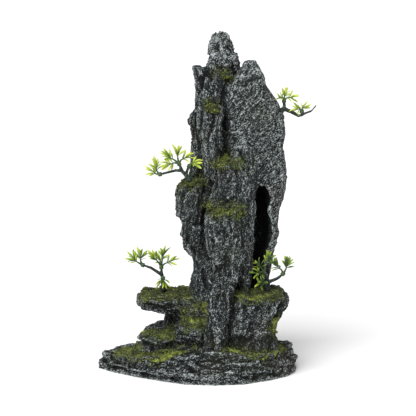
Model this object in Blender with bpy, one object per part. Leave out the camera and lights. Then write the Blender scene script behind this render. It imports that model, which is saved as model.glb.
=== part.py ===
"""Resin cave ornament: a tower of cast stones on a stepped base, with a cave, moss pads and small trees.

Every stone is its own casting, bonded to its neighbours over a thin glue line. The moss pads are flocked
mats glued on the ledges. Each tree is a moulded trunk whose peg drops into a hole in a stone, with leaf
sprays that push onto its branch ends.

Lengths below are in millimetres. X runs to the right, Y to the back and Z up, from the middle of the
underside.
"""

import math
from collections import namedtuple

import bmesh
import bpy
from mathutils import Vector, noise

MM = 0.001

# Driving dimensions
GLUE_LINE = 0.3  # gap between bonded castings
CHIP_DEPTH = 1.3  # how far a stone's faces wander from their outline
CHIP_SIZE = 13.0  # distance over which they wander
RING_STEP = 16.0  # most height between two rings of a stone
MOSS_THICKNESS = 1.4
WELD = 0.002  # corners closer than this after a cut are joined
MOSS_EDGE_WANDER = 3.0  # how far the outline of a moss pad wanders
MOSS_OPENING = (-6.0, 9.0)  # how far below and over a tree's root its moss is opened
PEG_RADIUS = 1.6
PEG_LENGTH = 9.0
PEG_CLEARANCE = 0.3
PEG_HOLE_DEEPER = 1.0  # how much deeper a hole is than its peg
SHOULDER_RADIUS = 2.7
SHOULDER_LIFT = 0.3  # height of a trunk's shoulder over its seat
COLLAR_HEIGHT = 2.4  # the cone from the shoulder up to the trunk
COLLAR_RADIUS = 2.0  # its radius at the top
SEAT_HEIGHT = 24.0  # how far the space over a seat is kept open
HUB_RADIUS = 1.9
HUB_OVERLAP = 1.8  # length of a branch end inside its spray
HUB_CROWN = 1.4  # length of the spray's hub beyond it
SOCKET_CLEARANCE = 0.3
TWIG_RADIUS = 0.7
TWIG_FOOT = 0.2  # how far beyond the branch end the first twig leaves its hub
TWIG_STAGGER = 0.27  # distance along a hub between the feet of its twigs
BUD_RADIUS = 1.1  # the knot at the end of a twig, where the leaves meet
LEAF_LENGTH = 6.4
LEAF_WIDTH = 2.5
LEAF_KEEL = 0.9
LEAF_SPREAD = 1.05  # angle between a twig and the leaves around it, in radians
LEAF_LIFT = 0.2  # how much the leaves turn upwards
SHARP_ANGLE = math.radians(40)  # edges of the mouldings sharper than this stay sharp

# One level of a stone: its height, and how far it reaches to each side. A tilted ring rises to the back.
Ring = namedtuple("Ring", "z left right front back tilt", defaults=(0.0,))

# One corner of the base: its place on the ground, the rim's height over it, and how far the rim sits in.
Corner = namedtuple("Corner", "x y rim inset")

# A moss pad: the stones it covers, and the outline within which it covers them.
Pad = namedtuple("Pad", "stones rings")

# One tree: its stone, where its peg enters it, the way it pulls out, and the opening in the moss around it.
Tree = namedtuple("Tree", "name stone root pull moss_hole")

# A branch of a trunk: the points it passes through, and its radius at the first and the last.
Branch = namedtuple("Branch", "points thick thin")

# A leaf spray: the number of the branch that it is pushed onto, and where each of its twigs ends.
Spray = namedtuple("Spray", "name branch twigs")

# The end of a twig: its place, its number of leaves, and their size against the usual one.
Twig = namedtuple("Twig", "place leaves size", defaults=(1.0,))

BASE_OUTLINE = (
    Corner(-77, -1, 12, 4),
    Corner(-66, -13.5, 14, 5),
    Corner(-47, -28, 14, 6),
    Corner(-33, -37, 15, 6),
    Corner(-10, -49.5, 21, 8),
    Corner(13, -52.5, 23, 10),
    Corner(35, -49.5, 21, 8),
    Corner(46, -43, 17, 5),
    Corner(57, -36.5, 19, 4),
    Corner(69.5, -25, 22, 3),
    Corner(75.5, -12, 22, 3),
    Corner(76.5, 8, 18, 3),
    Corner(68, 28, 14, 5),
    Corner(52, 43, 17, 7),
    Corner(20, 51, 22, 8),
    Corner(-16, 50, 18, 8),
    Corner(-46, 38, 13, 6),
    Corner(-66, 24, 12, 5),
    Corner(-76, 12, 12, 4),
)
BASE_LAYER = 0.45  # share of the rim's height where the lower layer steps back
BASE_TOP = 24.0
BASE_OVERHANG = 0.8  # how far the lower layer stands out over the ground outline
BASE_STEP_INSET = 0.5  # share of the rim's inset at the step between the layers
BASE_STEP_HEIGHT = 0.12  # share of the rim's height that the step takes
BASE_TOP_SHARE = 0.62  # size of the raised middle against the outline

STONES = {
    "core_block": [
        Ring(19, -30, 58, -12, 38),
        Ring(34, -28, 58, -14, 38),
        Ring(41, -25, 57, -12, 36),
        Ring(58, -24, 54, -12, 35),
    ],
    "lower_step": [
        Ring(19, -44, 8, -30, 0),
        Ring(26, -43, 8, -29, -1),
        Ring(27.5, -46, 8, -31, -4),
        Ring(30, -46, 6, -30, -6),
        Ring(32, -38, 4, -26, -8),
    ],
    "step_stone": [
        Ring(24, -16, 6, -30, -8),
        Ring(33, -18, 6, -35, -8),
        Ring(39, -15, 6, -31, -8),
        Ring(45, -13, 7, -25, -8),
        Ring(50, -15, 8, -28, -8),
        Ring(56, -10, 8, -24, -8),
    ],
    "plant_shelf": [
        Ring(47, -27, -2, -18, 8),
        Ring(49, -42, 4, -22, 10),
        Ring(53, -47, 6, -25, 12),
        Ring(58.5, -46.5, 6, -25, 12),
        Ring(60.8, -42, 5, -22, 10, 0.06),
    ],
    "right_boulder": [
        Ring(19, 22, 63, -34, 8),
        Ring(30, 23, 60, -34, 9),
        Ring(36, 23.5, 60, -38, 9),
        Ring(42, 24, 61.5, -36, 10),
        Ring(50, 25, 65.5, -36, 10),
        Ring(55, 25, 70.5, -35, 10),
        Ring(59, 27, 70, -34, 10),
        Ring(62, 29, 64, -32, 8, 0.08),
    ],
    "front_pillar": [
        Ring(19, 5, 24, -37, -10),
        Ring(40, 6, 23.5, -35, -10),
        Ring(55, 7, 26, -33, -10),
        Ring(67, 8, 29, -32, -10),
        Ring(82, 9, 35, -31, -11),
        Ring(94, 7, 37.5, -31, -12),
        Ring(108, 5, 38, -30, -13),
        Ring(120, 5.5, 37, -29, -13),
        Ring(126, 7, 36, -27, -13, 0.35),
    ],
    "left_column": [
        Ring(56, -8, 12.5, -26, 22),
        Ring(66, -6, 12.5, -25, 22),
        Ring(80, -3, 12.5, -22, 22),
        Ring(92, -5, 12, -16, 23),
        Ring(120, -9, 13, -11, 23),
        Ring(146, -8, 14, -12, 24, 0.06),
    ],
    "left_buttress": [
        Ring(91, -8, 2, -16, -4),
        Ring(97, -12, 4, -19, 0),
        Ring(114, -12.5, 5, -20, 2),
        Ring(124, -16, 4, -22, 2),
        Ring(137, -16.5, 3, -22, 2),
        Ring(143, -14.5, 4, -21, 0),
        Ring(147, -11, 5, -19, -2, 0.04),
    ],
    "left_tower": [
        Ring(140, -7, 21, -5, 27),
        Ring(156, -6, 22, -5, 27),
        Ring(172, -5, 23, -4, 26),
        Ring(182, -6, 23, -4, 26),
        Ring(192, -8, 23, -4, 26),
        Ring(197, -5, 24, -4, 25),
        Ring(201, -2, 24, -4, 24),
        Ring(214, -1.5, 26, -4, 22),
        Ring(226, -2.5, 27, -4, 20),
        Ring(233, -3, 10, 0, 18),
    ],
    "centre_column": [
        Ring(128, 2, 20, -14, 4),
        Ring(144, 3, 19, -14, 4),
        Ring(170, 4, 19.5, -13, 4),
        Ring(194, 4.5, 20, -12, 4),
        Ring(202, 5, 19, -11, 4, 0.4),
    ],
    "spire": [
        Ring(200, 5, 31, 0, 22),
        Ring(216, 5, 32, 0, 22),
        Ring(229, 6.5, 33, 0, 20),
        Ring(236, 7.5, 33, 0, 19),
        Ring(241, 8.5, 31, 0, 18),
        Ring(245, 8.5, 28.5, 1, 17),
        Ring(252, 8.5, 27, 1, 17),
        Ring(257, 11, 25, 3, 15),
        Ring(260, 14, 22, 5, 12),
    ],
    "ledge_column": [
        Ring(106, 6, 34, -22, 0),
        Ring(126, 8, 34, -21, 0),
        Ring(146, 10, 37, -19, 0),
        Ring(160, 11, 37, -18, 0, 0.3),
    ],
    "arch_column": [
        Ring(60, 30, 40, -20, 0),
        Ring(74, 30, 40.5, -21, 0),
        Ring(95, 29, 42, -22, 0),
        Ring(112, 28, 43.5, -21, 0),
        Ring(126, 27, 43.5, -20, 0),
        Ring(142, 26, 44.5, -19, 0),
        Ring(160, 25, 44, -16, 0),
        Ring(172, 28, 41, -12, 0),
    ],
    "great_slab": [
        Ring(60, 34, 54, -4, 36),
        Ring(70, 32, 55, -5, 37),
        Ring(84, 30, 57.5, -6, 38),
        Ring(93, 29, 59, -7, 38),
        Ring(105, 28, 63, -8, 38),
        Ring(113, 27, 61.5, -8, 38),
        Ring(124, 26, 64, -8, 37),
        Ring(139, 24, 67.5, -8, 35),
        Ring(150, 22.5, 68, -9, 32),
        Ring(166, 22, 65.5, -9, 27),
        Ring(184, 22, 67.5, -9, 24),
        Ring(195, 22, 66, -8, 21),
        Ring(206, 22, 60, -8, 18),
        Ring(218, 23, 53, -7, 15),
        Ring(226, 27.5, 50, -5, 13),
        Ring(232, 33, 47.5, -3, 11),
        Ring(237.5, 36, 44, 0, 9),
    ],
    "rear_slab": [
        Ring(54, -2, 36, 20, 42),
        Ring(78, -1, 35, 22, 43),
        Ring(110, -4, 33, 23, 42),
        Ring(140, -5, 31, 23, 40),
        Ring(170, -3, 29, 22, 37),
        Ring(184, 0, 26, 20, 32),
    ],
    "rear_boulder": [
        Ring(19, -14, 60, 14, 46),
        Ring(32, -12, 58, 14, 46),
        Ring(46, -6, 56, 15, 45),
        Ring(54, 2, 53, 15, 44),
        Ring(61.5, 27, 52, 15, 42),
    ],
    "rear_step": [
        Ring(14, -46, -12, 10, 42),
        Ring(24, -42, -12, 10, 41),
        Ring(30, -30, -12, 12, 36),
    ],
}

# The hollow behind the pillars, and its two ways out: the mouth at the front right and the arch at the back.
CAVE = {
    "chamber": [
        Ring(61, 12, 50, -0.5, 27),
        Ring(84, 10, 51, -0.5, 29),
        Ring(105, 10, 56, -0.5, 30),
        Ring(123, 11, 55, -0.5, 29),
        Ring(136, 14, 53, -0.5, 27),
        Ring(146, 24, 46, -0.5, 20),
    ],
    "mouth": [
        Ring(61, 36, 49.5, -40, 10),
        Ring(84, 36, 51, -40, 10),
        Ring(93, 37, 53.5, -40, 10),
        Ring(106, 38, 57.5, -40, 10),
        Ring(124, 39, 54.5, -40, 10),
        Ring(133, 39, 56, -40, 10),
        Ring(143.5, 41, 52, -40, 10),
    ],
    "rear_arch": [
        Ring(61, 4, 24, 16, 60),
        Ring(82, 5, 23, 16, 60),
        Ring(98, 9, 19, 16, 60),
    ],
}
SQUARE_STONES = ("right_boulder", "great_slab")
CAVE_STONES = {
    "core_block": ("chamber",),
    "left_column": ("chamber",),
    "left_tower": ("chamber",),
    "great_slab": ("chamber", "mouth"),
    "rear_slab": ("chamber", "rear_arch"),
}

# The moss grows over the tops of the stones and a little way down their faces.
MOSS_PADS = {
    "moss_shelf": Pad(("plant_shelf",), [Ring(59, -44, 4, -22, 8), Ring(64, -50, 4, -27, 9)]),
    "moss_boulder": Pad(("right_boulder",), [Ring(58, 31, 62, -32, -4), Ring(68, 25, 71, -38, -4)]),
    "moss_boulder_edge": Pad(("right_boulder",), [Ring(33, 55, 66, -40, -22), Ring(47, 57, 68, -40, -22)]),
    "moss_pillar_top": Pad(("front_pillar",), [Ring(123, 8, 36, -30, -8), Ring(135, 2, 41, -36, -8)]),
    "moss_buttress": Pad(
        ("left_buttress", "left_column"), [Ring(144, -13, 10, -20, 8), Ring(153, -21, 14, -28, 8)],
    ),
    "moss_mid_ledge": Pad(("ledge_column",), [Ring(158, 12, 35, -18, 2), Ring(169, 8, 40, -24, 2)]),
    "moss_column_top": Pad(("centre_column",), [Ring(199.5, 5, 18, -12, 4), Ring(212, 1, 21, -18, 4)]),
    "moss_spire_foot": Pad(("left_tower",), [Ring(224, 14, 26, -3, 4), Ring(235, 12, 29, -10, 4)]),
    "moss_step": Pad(("step_stone",), [Ring(38, -14, 10, -33, -8), Ring(60, -16, 11, -36, -8)]),
    "moss_lower_step": Pad(("lower_step",), [Ring(28, -42, -10, -28, -4), Ring(35, -50, -6, -34, -4)]),
    "moss_base_left": Pad(("base_slab",), [Ring(13, -66, 8, -33, 4), Ring(28, -64, 8, -33, 0)]),
    "moss_base_right": Pad(("base_slab",), [Ring(16.5, 16, 66, -42, -8), Ring(30, 18, 66, -42, -8)]),
}

UPRIGHT_PULL = Vector((0, 0, 1))
SLANTED_PULL = Vector((0.86, 0, 0.51)).normalized()

TREES = (
    Tree("upper_right_tree", "great_slab", Vector((62.6, 2, 199.4)), SLANTED_PULL, 0),
    Tree("mid_left_tree", "left_buttress", Vector((-6.3, -12, 148)), UPRIGHT_PULL, 3.8),
    Tree("lower_left_tree", "plant_shelf", Vector((-26.5, 0, 61)), UPRIGHT_PULL, 4.0),
    Tree("lower_right_tree", "right_boulder", Vector((53.4, -13, 64)), UPRIGHT_PULL, 4.0),
)

BRANCHES = {
    "upper_right_tree": (
        Branch([(64.2, 2, 200.4), (66, 2, 203), (65.6, 2, 207.8)], 2.0, 0.9),
        Branch([(65, 2, 201.6), (70.9, 1, 199.4), (77, 0, 196.1), (79, 0, 197), (79.2, 0, 200)], 1.8, 0.9),
        Branch([(78.2, 0, 196.4), (82.4, -0.5, 198.6), (86.4, -0.5, 200), (90, -0.5, 204.4)], 1.2, 0.5),
    ),
    "mid_left_tree": (
        Branch([
            (-6.3, -12, 149),
            (-9, -12, 153),
            (-12, -12, 155.9),
            (-16.5, -12, 156),
            (-28.6, -12, 153),
        ], 2.0, 0.9),
        Branch([(-11.6, -12, 155.6), (-12.9, -12.5, 159), (-14, -13, 161.6)], 1.6, 0.9),
        Branch([(-8.6, -12, 152.6), (-7.4, -13.4, 157), (-6, -14.6, 160)], 1.3, 0.9),
    ),
    "lower_left_tree": (
        Branch([(-26.5, 0, 62.5), (-27.4, 0, 73.4), (-28, 0, 80)], 1.8, 0.9),
        Branch([(-27.3, 0, 73.4), (-35.8, 0, 79), (-42.6, 0, 81.4)], 1.5, 0.9),
        Branch([(-27.2, 0, 71), (-26.4, -4.4, 72)], 1.1, 0.8),
    ),
    "lower_right_tree": (
        Branch([(53.4, -13, 65), (53.8, -13.4, 71), (51.6, -15, 76), (50, -17, 79.4)], 2.1, 0.9),
        Branch([(53.8, -13.4, 70.4), (61, -14, 73.6), (65.4, -14.4, 77.4)], 1.6, 0.9),
        Branch([(53.6, -13.2, 69.6), (51.6, -18.6, 71)], 1.1, 0.8),
    ),
}

SPRAYS = {
    "upper_right_tree": (
        Spray("crown_spray", 0, [
            Twig((64, 0, 210), 5, 0.8),
            Twig((66.4, 2, 211.8), 6, 0.8),
            Twig((70, 1, 210), 5, 0.8),
        ]),
        Spray("outer_spray", 1, [Twig((76.8, -1, 201.4), 6, 0.85), Twig((80, 1, 202), 5, 0.85)]),
    ),
    "mid_left_tree": (
        Spray("outer_spray", 0, [Twig((-32.6, -12, 154.4), 5), Twig((-31, -13, 158.8), 6)]),
        Spray("crown_spray", 1, [
            Twig((-20.4, -13, 160.8), 5),
            Twig((-21, -14, 166), 6),
            Twig((-15, -13, 168.4), 5),
            Twig((-9.6, -14, 165.6), 5),
        ]),
        Spray("inner_spray", 2, [Twig((-3.2, -16, 161.6), 5)]),
    ),
    "lower_left_tree": (
        Spray("crown_spray", 0, [
            Twig((-33, -1, 86.6), 6),
            Twig((-26.4, 0, 88.4), 6),
            Twig((-22, -1, 83.6), 6),
            Twig((-29, 5, 84), 4),
        ]),
        Spray("outer_spray", 1, [Twig((-48.2, 0, 84.8), 6), Twig((-43.6, -1, 87.2), 6)]),
        Spray("low_spray", 2, [Twig((-26, -7, 71), 5)]),
    ),
    "lower_right_tree": (
        Spray("crown_spray", 0, [
            Twig((44, -24, 79.4), 6),
            Twig((46, -23, 85.4), 6),
            Twig((53.4, -18, 88.6), 5),
        ]),
        Spray("outer_spray", 1, [Twig((60.6, -15.4, 82.8), 5), Twig((67.8, -15, 83.4), 5)]),
        Spray("low_spray", 2, [Twig((49.6, -22, 71.4), 5)]),
    ),
}

FINISHES = {
    "stone": ((0.10, 0.105, 0.11, 1), 0.85),
    "moss": ((0.22, 0.30, 0.06, 1), 0.95),
    "trunk": ((0.05, 0.10, 0.06, 1), 0.5),
    "leaf": ((0.48, 0.62, 0.10, 1), 0.45),
}


def clear_scene():
    """Empties the scene the script is run from."""
    for thing in list(bpy.data.objects):
        bpy.data.objects.remove(thing, do_unlink=True)


def finish_named(name):
    """The material of one finish, made once."""
    found = bpy.data.materials.get(name)
    if found:
        return found
    colour, roughness = FINISHES[name]
    made = bpy.data.materials.new(name)
    made.use_nodes = True
    shader = made.node_tree.nodes["Principled BSDF"]
    shader.inputs["Base Color"].default_value = colour
    shader.inputs["Roughness"].default_value = roughness
    shader.inputs["Metallic"].default_value = 0.0
    return made


def object_from(shape, name, finish="stone"):
    """Turns a bmesh in millimetres into an object in metres."""
    bmesh.ops.scale(shape, vec=(MM, MM, MM), verts=shape.verts)
    bmesh.ops.triangulate(shape, faces=shape.faces)
    mesh = bpy.data.meshes.new(name)
    shape.to_mesh(mesh)
    shape.free()
    made = bpy.data.objects.new(name, mesh)
    made.data.materials.append(finish_named(finish))
    bpy.context.scene.collection.objects.link(made)
    return made


def as_helper(thing):
    """Marks an object as a cutter, which is no part of the ornament."""
    thing.hide_render = True
    thing.display_type = "WIRE"
    return thing


def skin(shape, loops):
    """Joins closed loops of points, lowest first and each running anticlockwise, into a closed skin."""
    rows = [[shape.verts.new(point) for point in loop] for loop in loops]
    for low, high in zip(rows, rows[1:]):
        for here in range(len(low)):
            after = (here + 1) % len(low)
            shape.faces.new((low[here], low[after], high[after], high[here]))
    shape.faces.new(reversed(rows[0]))
    shape.faces.new(rows[-1])


def filled_in(rings):
    """The rings with more between them wherever two are far apart in height."""
    found = [rings[0]]
    for low, high in zip(rings, rings[1:]):
        steps = max(1, math.ceil((high.z - low.z) / RING_STEP))
        for step in range(1, steps + 1):
            share = step / steps
            found.append(Ring(*(a + (b - a) * share for a, b in zip(low, high))))
    return found


def ring_loop(ring, corners, boxy, chips, seed):
    """The points of one ring: a rounded box in plan, with its faces pushed in and out by smooth noise."""
    middle = Vector(((ring.left + ring.right) / 2, (ring.front + ring.back) / 2, ring.z))
    half_width, half_depth = (ring.right - ring.left) / 2, (ring.back - ring.front) / 2
    loop = []
    for corner in range(corners):
        angle = math.tau * (corner + 0.5) / corners
        across, along = math.cos(angle), math.sin(angle)
        point = middle + Vector((
            math.copysign(abs(across) ** (2 / boxy), across) * half_width,
            math.copysign(abs(along) ** (2 / boxy), along) * half_depth,
            0,
        ))
        outward = (point - middle).normalized()
        point += outward * noise.noise(point / CHIP_SIZE + Vector((seed, 0, 0))) * chips
        point.z = ring.z + ring.tilt * (point.y - ring.front)
        loop.append(point)
    return loop


def loft(name, rings, corners=10, boxy=3.2, chips=CHIP_DEPTH, finish="stone"):
    """A closed solid through the rings, lowest first."""
    shape = bmesh.new()
    seed = sum(map(ord, name)) % 97
    skin(shape, [ring_loop(ring, corners, boxy, chips, seed) for ring in filled_in(rings)])
    return object_from(shape, name, finish)


def base_slab():
    """The base: an uneven outline in two layers, with a raised middle."""
    middle = Vector((0, 0, 0))
    ground, layer, step, rim, raised = [], [], [], [], []
    for corner in BASE_OUTLINE:
        out = Vector((corner.x, corner.y, 0))
        inward = (middle - out).normalized()
        ground.append(out)
        layer.append(out - inward * BASE_OVERHANG + Vector((0, 0, corner.rim * BASE_LAYER)))
        step_height = corner.rim * (BASE_LAYER + BASE_STEP_HEIGHT)
        step.append(out + inward * corner.inset * BASE_STEP_INSET + Vector((0, 0, step_height)))
        rim.append(out + inward * corner.inset + Vector((0, 0, corner.rim)))
        raised.append(out * BASE_TOP_SHARE + Vector((0, 0, (BASE_TOP + corner.rim) / 2)))
    shape = bmesh.new()
    skin(shape, [ground, layer, step, rim, raised])
    return object_from(shape, "base_slab")


def grown(thing, by):
    """A copy of a solid with its skin moved outwards by this many millimetres, to cut with."""
    shape = bmesh.new()
    shape.from_mesh(thing.data)
    shape.normal_update()
    moves = [(vert, vert.normal * by * MM * min(vert.calc_shell_factor(), 2.0)) for vert in shape.verts]
    for vert, move in moves:
        vert.co += move
    mesh = bpy.data.meshes.new(thing.name + "_room")
    shape.to_mesh(mesh)
    shape.free()
    room = bpy.data.objects.new(thing.name + "_room", mesh)
    bpy.context.scene.collection.objects.link(room)
    return as_helper(room)


def bounds(thing):
    """The lowest and highest corner of an object's mesh."""
    corners = [Vector(corner) for corner in thing.bound_box]
    low = Vector(min(corner[axis] for corner in corners) for axis in range(3))
    high = Vector(max(corner[axis] for corner in corners) for axis in range(3))
    return low, high


def near(one, other):
    """Whether the boxes of two objects meet."""
    (low, high), (other_low, other_high) = bounds(one), bounds(other)
    return all(low[axis] <= other_high[axis] and other_low[axis] <= high[axis] for axis in range(3))


def islands(shape):
    """The separate bodies of a bmesh, as lists of vertices."""
    left, found = set(shape.verts), []
    while left:
        body, edge = set(), [left.pop()]
        while edge:
            vert = edge.pop()
            body.add(vert)
            for link in vert.link_edges:
                other = link.other_vert(vert)
                if other in left:
                    left.discard(other)
                    edge.append(other)
        found.append(body)
    return found


def body_size(body):
    """The volume of the box around some vertices."""
    spans = [[vert.co[axis] for vert in body] for axis in range(3)]
    return math.prod(max(span) - min(span) for span in spans)


def settle(thing):
    """Applies an object's Booleans and drops the crumbs that they cut loose."""
    graph = bpy.context.evaluated_depsgraph_get()
    mesh = bpy.data.meshes.new_from_object(thing.evaluated_get(graph))
    shape = bmesh.new()
    shape.from_mesh(mesh)
    bmesh.ops.remove_doubles(shape, verts=shape.verts, dist=WELD * MM)
    bmesh.ops.dissolve_degenerate(shape, edges=shape.edges, dist=WELD * MM)
    bodies = sorted(islands(shape), key=body_size)
    crumbs = [vert for body in bodies[:-1] for vert in body]
    bmesh.ops.delete(shape, geom=crumbs, context="VERTS")
    shape.to_mesh(mesh)
    shape.free()
    thing.modifiers.clear()
    thing.data = mesh


def combine(thing, others, operation):
    """Cuts the other solids from this one, or joins them to it, and removes them."""
    for other in others:
        boolean = thing.modifiers.new(operation.lower(), "BOOLEAN")
        boolean.operation = operation
        boolean.solver = "EXACT"
        boolean.object = as_helper(other)
    if others:
        settle(thing)
    for other in others:
        bpy.data.objects.remove(other, do_unlink=True)


def rod(name, start, end, radius, sides=12, tip=None, finish="trunk"):
    """A straight round bar, tapering to the tip radius where one is given."""
    return tube(name, [start, end], [radius, radius if tip is None else tip], sides, finish)


def tube(name, points, radii, sides=6, finish="trunk"):
    """A closed tube along the points, with its own radius at each."""
    points = [Vector(point) for point in points]
    shape = bmesh.new()
    side = None
    loops = []
    for index, (point, radius) in enumerate(zip(points, radii)):
        before, after = points[max(index - 1, 0)], points[min(index + 1, len(points) - 1)]
        along = (after - before).normalized()
        if side is None:
            side = along.orthogonal().normalized()
        side = (side - along * side.dot(along)).normalized()
        other = along.cross(side)
        turns = [math.tau * step / sides for step in range(sides)]
        loops.append([point + (side * math.cos(turn) + other * math.sin(turn)) * radius for turn in turns])
    skin(shape, loops)
    return object_from(shape, name, finish)


def rounded(moulding):
    """Shades a moulding smooth, apart from its real edges."""
    moulding.data.shade_smooth()
    moulding.data.set_sharp_from_angle(angle=SHARP_ANGLE)
    return moulding


def branch_tube(branch):
    """One branch of a trunk, tapering from its first point to its last."""
    last = len(branch.points) - 1
    radii = [branch.thick + (branch.thin - branch.thick) * index / last for index in range(last + 1)]
    return tube("branch", branch.points, radii)


def leaf_directions(along, count):
    """The ways that a twig's leaves point: one straight on, the others spread around it, a little upwards."""
    side = along.orthogonal().normalized()
    other = along.cross(side)
    ways = [along]
    for step in range(count - 1):
        turn = math.tau * step / (count - 1)
        around = side * math.cos(turn) + other * math.sin(turn)
        way = along * math.cos(LEAF_SPREAD) + around * math.sin(LEAF_SPREAD)
        ways.append((way + Vector((0, 0, LEAF_LIFT))).normalized())
    return ways


def leaf_bud(twig, along):
    """The knot at a twig's end with its leaves drawn out of it: keeled blades, widest halfway along."""
    length, width, keel_height = (size * twig.size for size in (LEAF_LENGTH, LEAF_WIDTH, LEAF_KEEL))
    shape = bmesh.new()
    bmesh.ops.create_icosphere(shape, subdivisions=1, radius=BUD_RADIUS)
    free = list(shape.faces)
    for way in leaf_directions(along, twig.leaves):
        face = max(free, key=lambda candidate: candidate.normal.dot(way))
        free.remove(face)
        foot = face.calc_center_median()
        flat = way.cross(Vector((0, 1, 0)) if abs(way.y) < 0.9 else Vector((1, 0, 0))).normalized()
        keel = flat.cross(way)
        belly = foot + way * length * 0.5
        offsets = (flat * width / 2, flat * -width / 2, keel * keel_height)
        rim = bmesh.ops.extrude_discrete_faces(shape, faces=[face])["faces"][0]
        corners = sorted(rim.verts, key=lambda vert: (vert.co - foot).dot(flat))
        middle = max(rim.verts, key=lambda vert: (vert.co - foot).dot(keel))
        sides = [vert for vert in corners if vert is not middle]
        for vert, offset in zip((sides[-1], sides[0], middle), offsets):
            vert.co = belly + offset
        top = bmesh.ops.poke(shape, faces=[rim])["verts"][0]
        top.co = foot + way * length
    bmesh.ops.translate(shape, vec=twig.place, verts=shape.verts)
    return object_from(shape, "leaves", "leaf")


def spray(tree, growth, trunk_room):
    """A hub that pushes onto a branch end, its twigs and their leaves, as one moulding."""
    points = [Vector(point) for point in BRANCHES[tree.name][growth.branch].points]
    end, along = points[-1], (points[-1] - points[-2]).normalized()
    name = tree.name + "_" + growth.name
    body = rod(name, end - along * HUB_OVERLAP, end + along * HUB_CROWN, HUB_RADIUS, sides=8, finish="leaf")
    parts = []
    for index, twig in enumerate(growth.twigs):
        place = Vector(twig.place)
        way = (place - end).normalized()
        foot = end + along * (TWIG_FOOT + TWIG_STAGGER * index)
        parts.append(rod("twig", foot, place, TWIG_RADIUS, sides=5, finish="leaf"))
        parts.append(leaf_bud(twig, way))
    combine(body, parts, "UNION")
    combine(body, [trunk_room], "DIFFERENCE")
    return rounded(body)


def trunk(tree):
    """A tree's trunk: its peg, the shoulder that stops it on the stone, and its branches."""
    seat = tree.root + tree.pull * SHOULDER_LIFT
    peg = rod(tree.name + "_trunk", tree.root - tree.pull * PEG_LENGTH, seat + tree.pull, PEG_RADIUS)
    collar_top = seat + tree.pull * COLLAR_HEIGHT
    collar = rod("collar", seat, collar_top, SHOULDER_RADIUS, sides=10, tip=COLLAR_RADIUS)
    combine(peg, [collar] + [branch_tube(branch) for branch in BRANCHES[tree.name]], "UNION")
    return rounded(peg)


def seat_and_hole(tree):
    """What is cut from a stone for a tree: a straight hole for the peg and a flat seat for the shoulder."""
    foot = tree.root - tree.pull * (PEG_LENGTH + PEG_HOLE_DEEPER)
    over = tree.root + tree.pull * SEAT_HEIGHT
    return [
        rod("hole", foot, over, PEG_RADIUS + PEG_CLEARANCE),
        rod("seat", tree.root, over, SHOULDER_RADIUS + PEG_CLEARANCE),
    ]


def cave_cutters(names):
    """The solids whose removal leaves the named parts of the cave."""
    return [loft(name, CAVE[name], boxy=4.0, chips=0.0) for name in names]


def outline_of(stone):
    """A copy of a stone before anything is cut from it, for its neighbours to be cut by."""
    outline = bpy.data.objects.new(stone.name + "_outline", stone.data.copy())
    bpy.context.scene.collection.objects.link(outline)
    return as_helper(outline)


def lay_stones():
    """Builds every stone in the order that it is laid, each cut to fit those laid before it."""
    slab = base_slab()
    stones, whole = {slab.name: slab}, [outline_of(slab)]
    for name, rings in STONES.items():
        stone = loft(name, rings, corners=12, boxy=4.5) if name in SQUARE_STONES else loft(name, rings)
        outline = outline_of(stone)
        combine(stone, [grown(other, GLUE_LINE) for other in whole if near(stone, other)], "DIFFERENCE")
        combine(stone, cave_cutters(CAVE_STONES.get(name, ())), "DIFFERENCE")
        stones[name] = stone
        whole.append(outline)
    return whole, stones


def blanket(stones, whole):
    """The space a moss thickness outside the skins of the named stones, and everything within it."""
    first, *others = [grown(stone, GLUE_LINE + MOSS_THICKNESS) for stone in whole if stone.name in stones]
    combine(first, others, "UNION")
    return first


def lay_moss(whole):
    """Builds the moss pads, each following the stones it covers and opened around a trunk."""
    for name, pad in MOSS_PADS.items():
        moss = loft(name, pad.rings, chips=MOSS_EDGE_WANDER, finish="moss")
        combine(moss, [blanket([stone + "_outline" for stone in pad.stones], whole)], "INTERSECT")
        combine(moss, [grown(stone, GLUE_LINE) for stone in whole if near(moss, stone)], "DIFFERENCE")
        for tree in TREES:
            if tree.stone in pad.stones:
                low, high = (tree.root + tree.pull * reach for reach in MOSS_OPENING)
                combine(moss, [rod("opening", low, high, tree.moss_hole)], "DIFFERENCE")


def slide_axis(tree):
    """An empty at a tree's root, with its Z along the way that the tree pulls out."""
    axis = bpy.data.objects.new(tree.name, None)
    axis.rotation_mode = "QUATERNION"
    axis.rotation_quaternion = Vector((0, 0, 1)).rotation_difference(tree.pull)
    axis.location = tree.root * MM
    bpy.context.scene.collection.objects.link(axis)
    return axis


def plant_trees(stones):
    """Drills the peg holes and builds the four trees, each on its slide axis."""
    for tree in TREES:
        combine(stones[tree.stone], seat_and_hole(tree), "DIFFERENCE")
        axis = slide_axis(tree)
        stem = trunk(tree)
        sprays = [spray(tree, growth, grown(stem, SOCKET_CLEARANCE)) for growth in SPRAYS[tree.name]]
        for piece in (stem, *sprays):
            piece.parent = axis
            piece.matrix_parent_inverse = axis.matrix_basis.inverted()


def main():
    clear_scene()
    whole, stones = lay_stones()
    lay_moss(whole)
    plant_trees(stones)
    for outline in whole:
        bpy.data.objects.remove(outline, do_unlink=True)


main()
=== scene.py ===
"""Looks of a resin cave ornament: weathered cast rock, flocked moss and four moulded plastic trees.

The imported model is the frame. Each casting is remeshed and carved into rough stone, each moss pad grows
fibres, each trunk gets bark, and each leaf spray gets its twigs and leaves. Lengths are in metres unless a
name says otherwise; the relief of the rock is worked out in millimetres.
"""

from __future__ import annotations

import logging
import math
from collections.abc import Iterable, Mapping, Sequence
from dataclasses import dataclass, field
from enum import Enum
from typing import Any

import bmesh
import bpy
import numpy as np
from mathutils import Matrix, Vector, kdtree, noise
from mathutils.bvhtree import BVHTree


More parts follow.
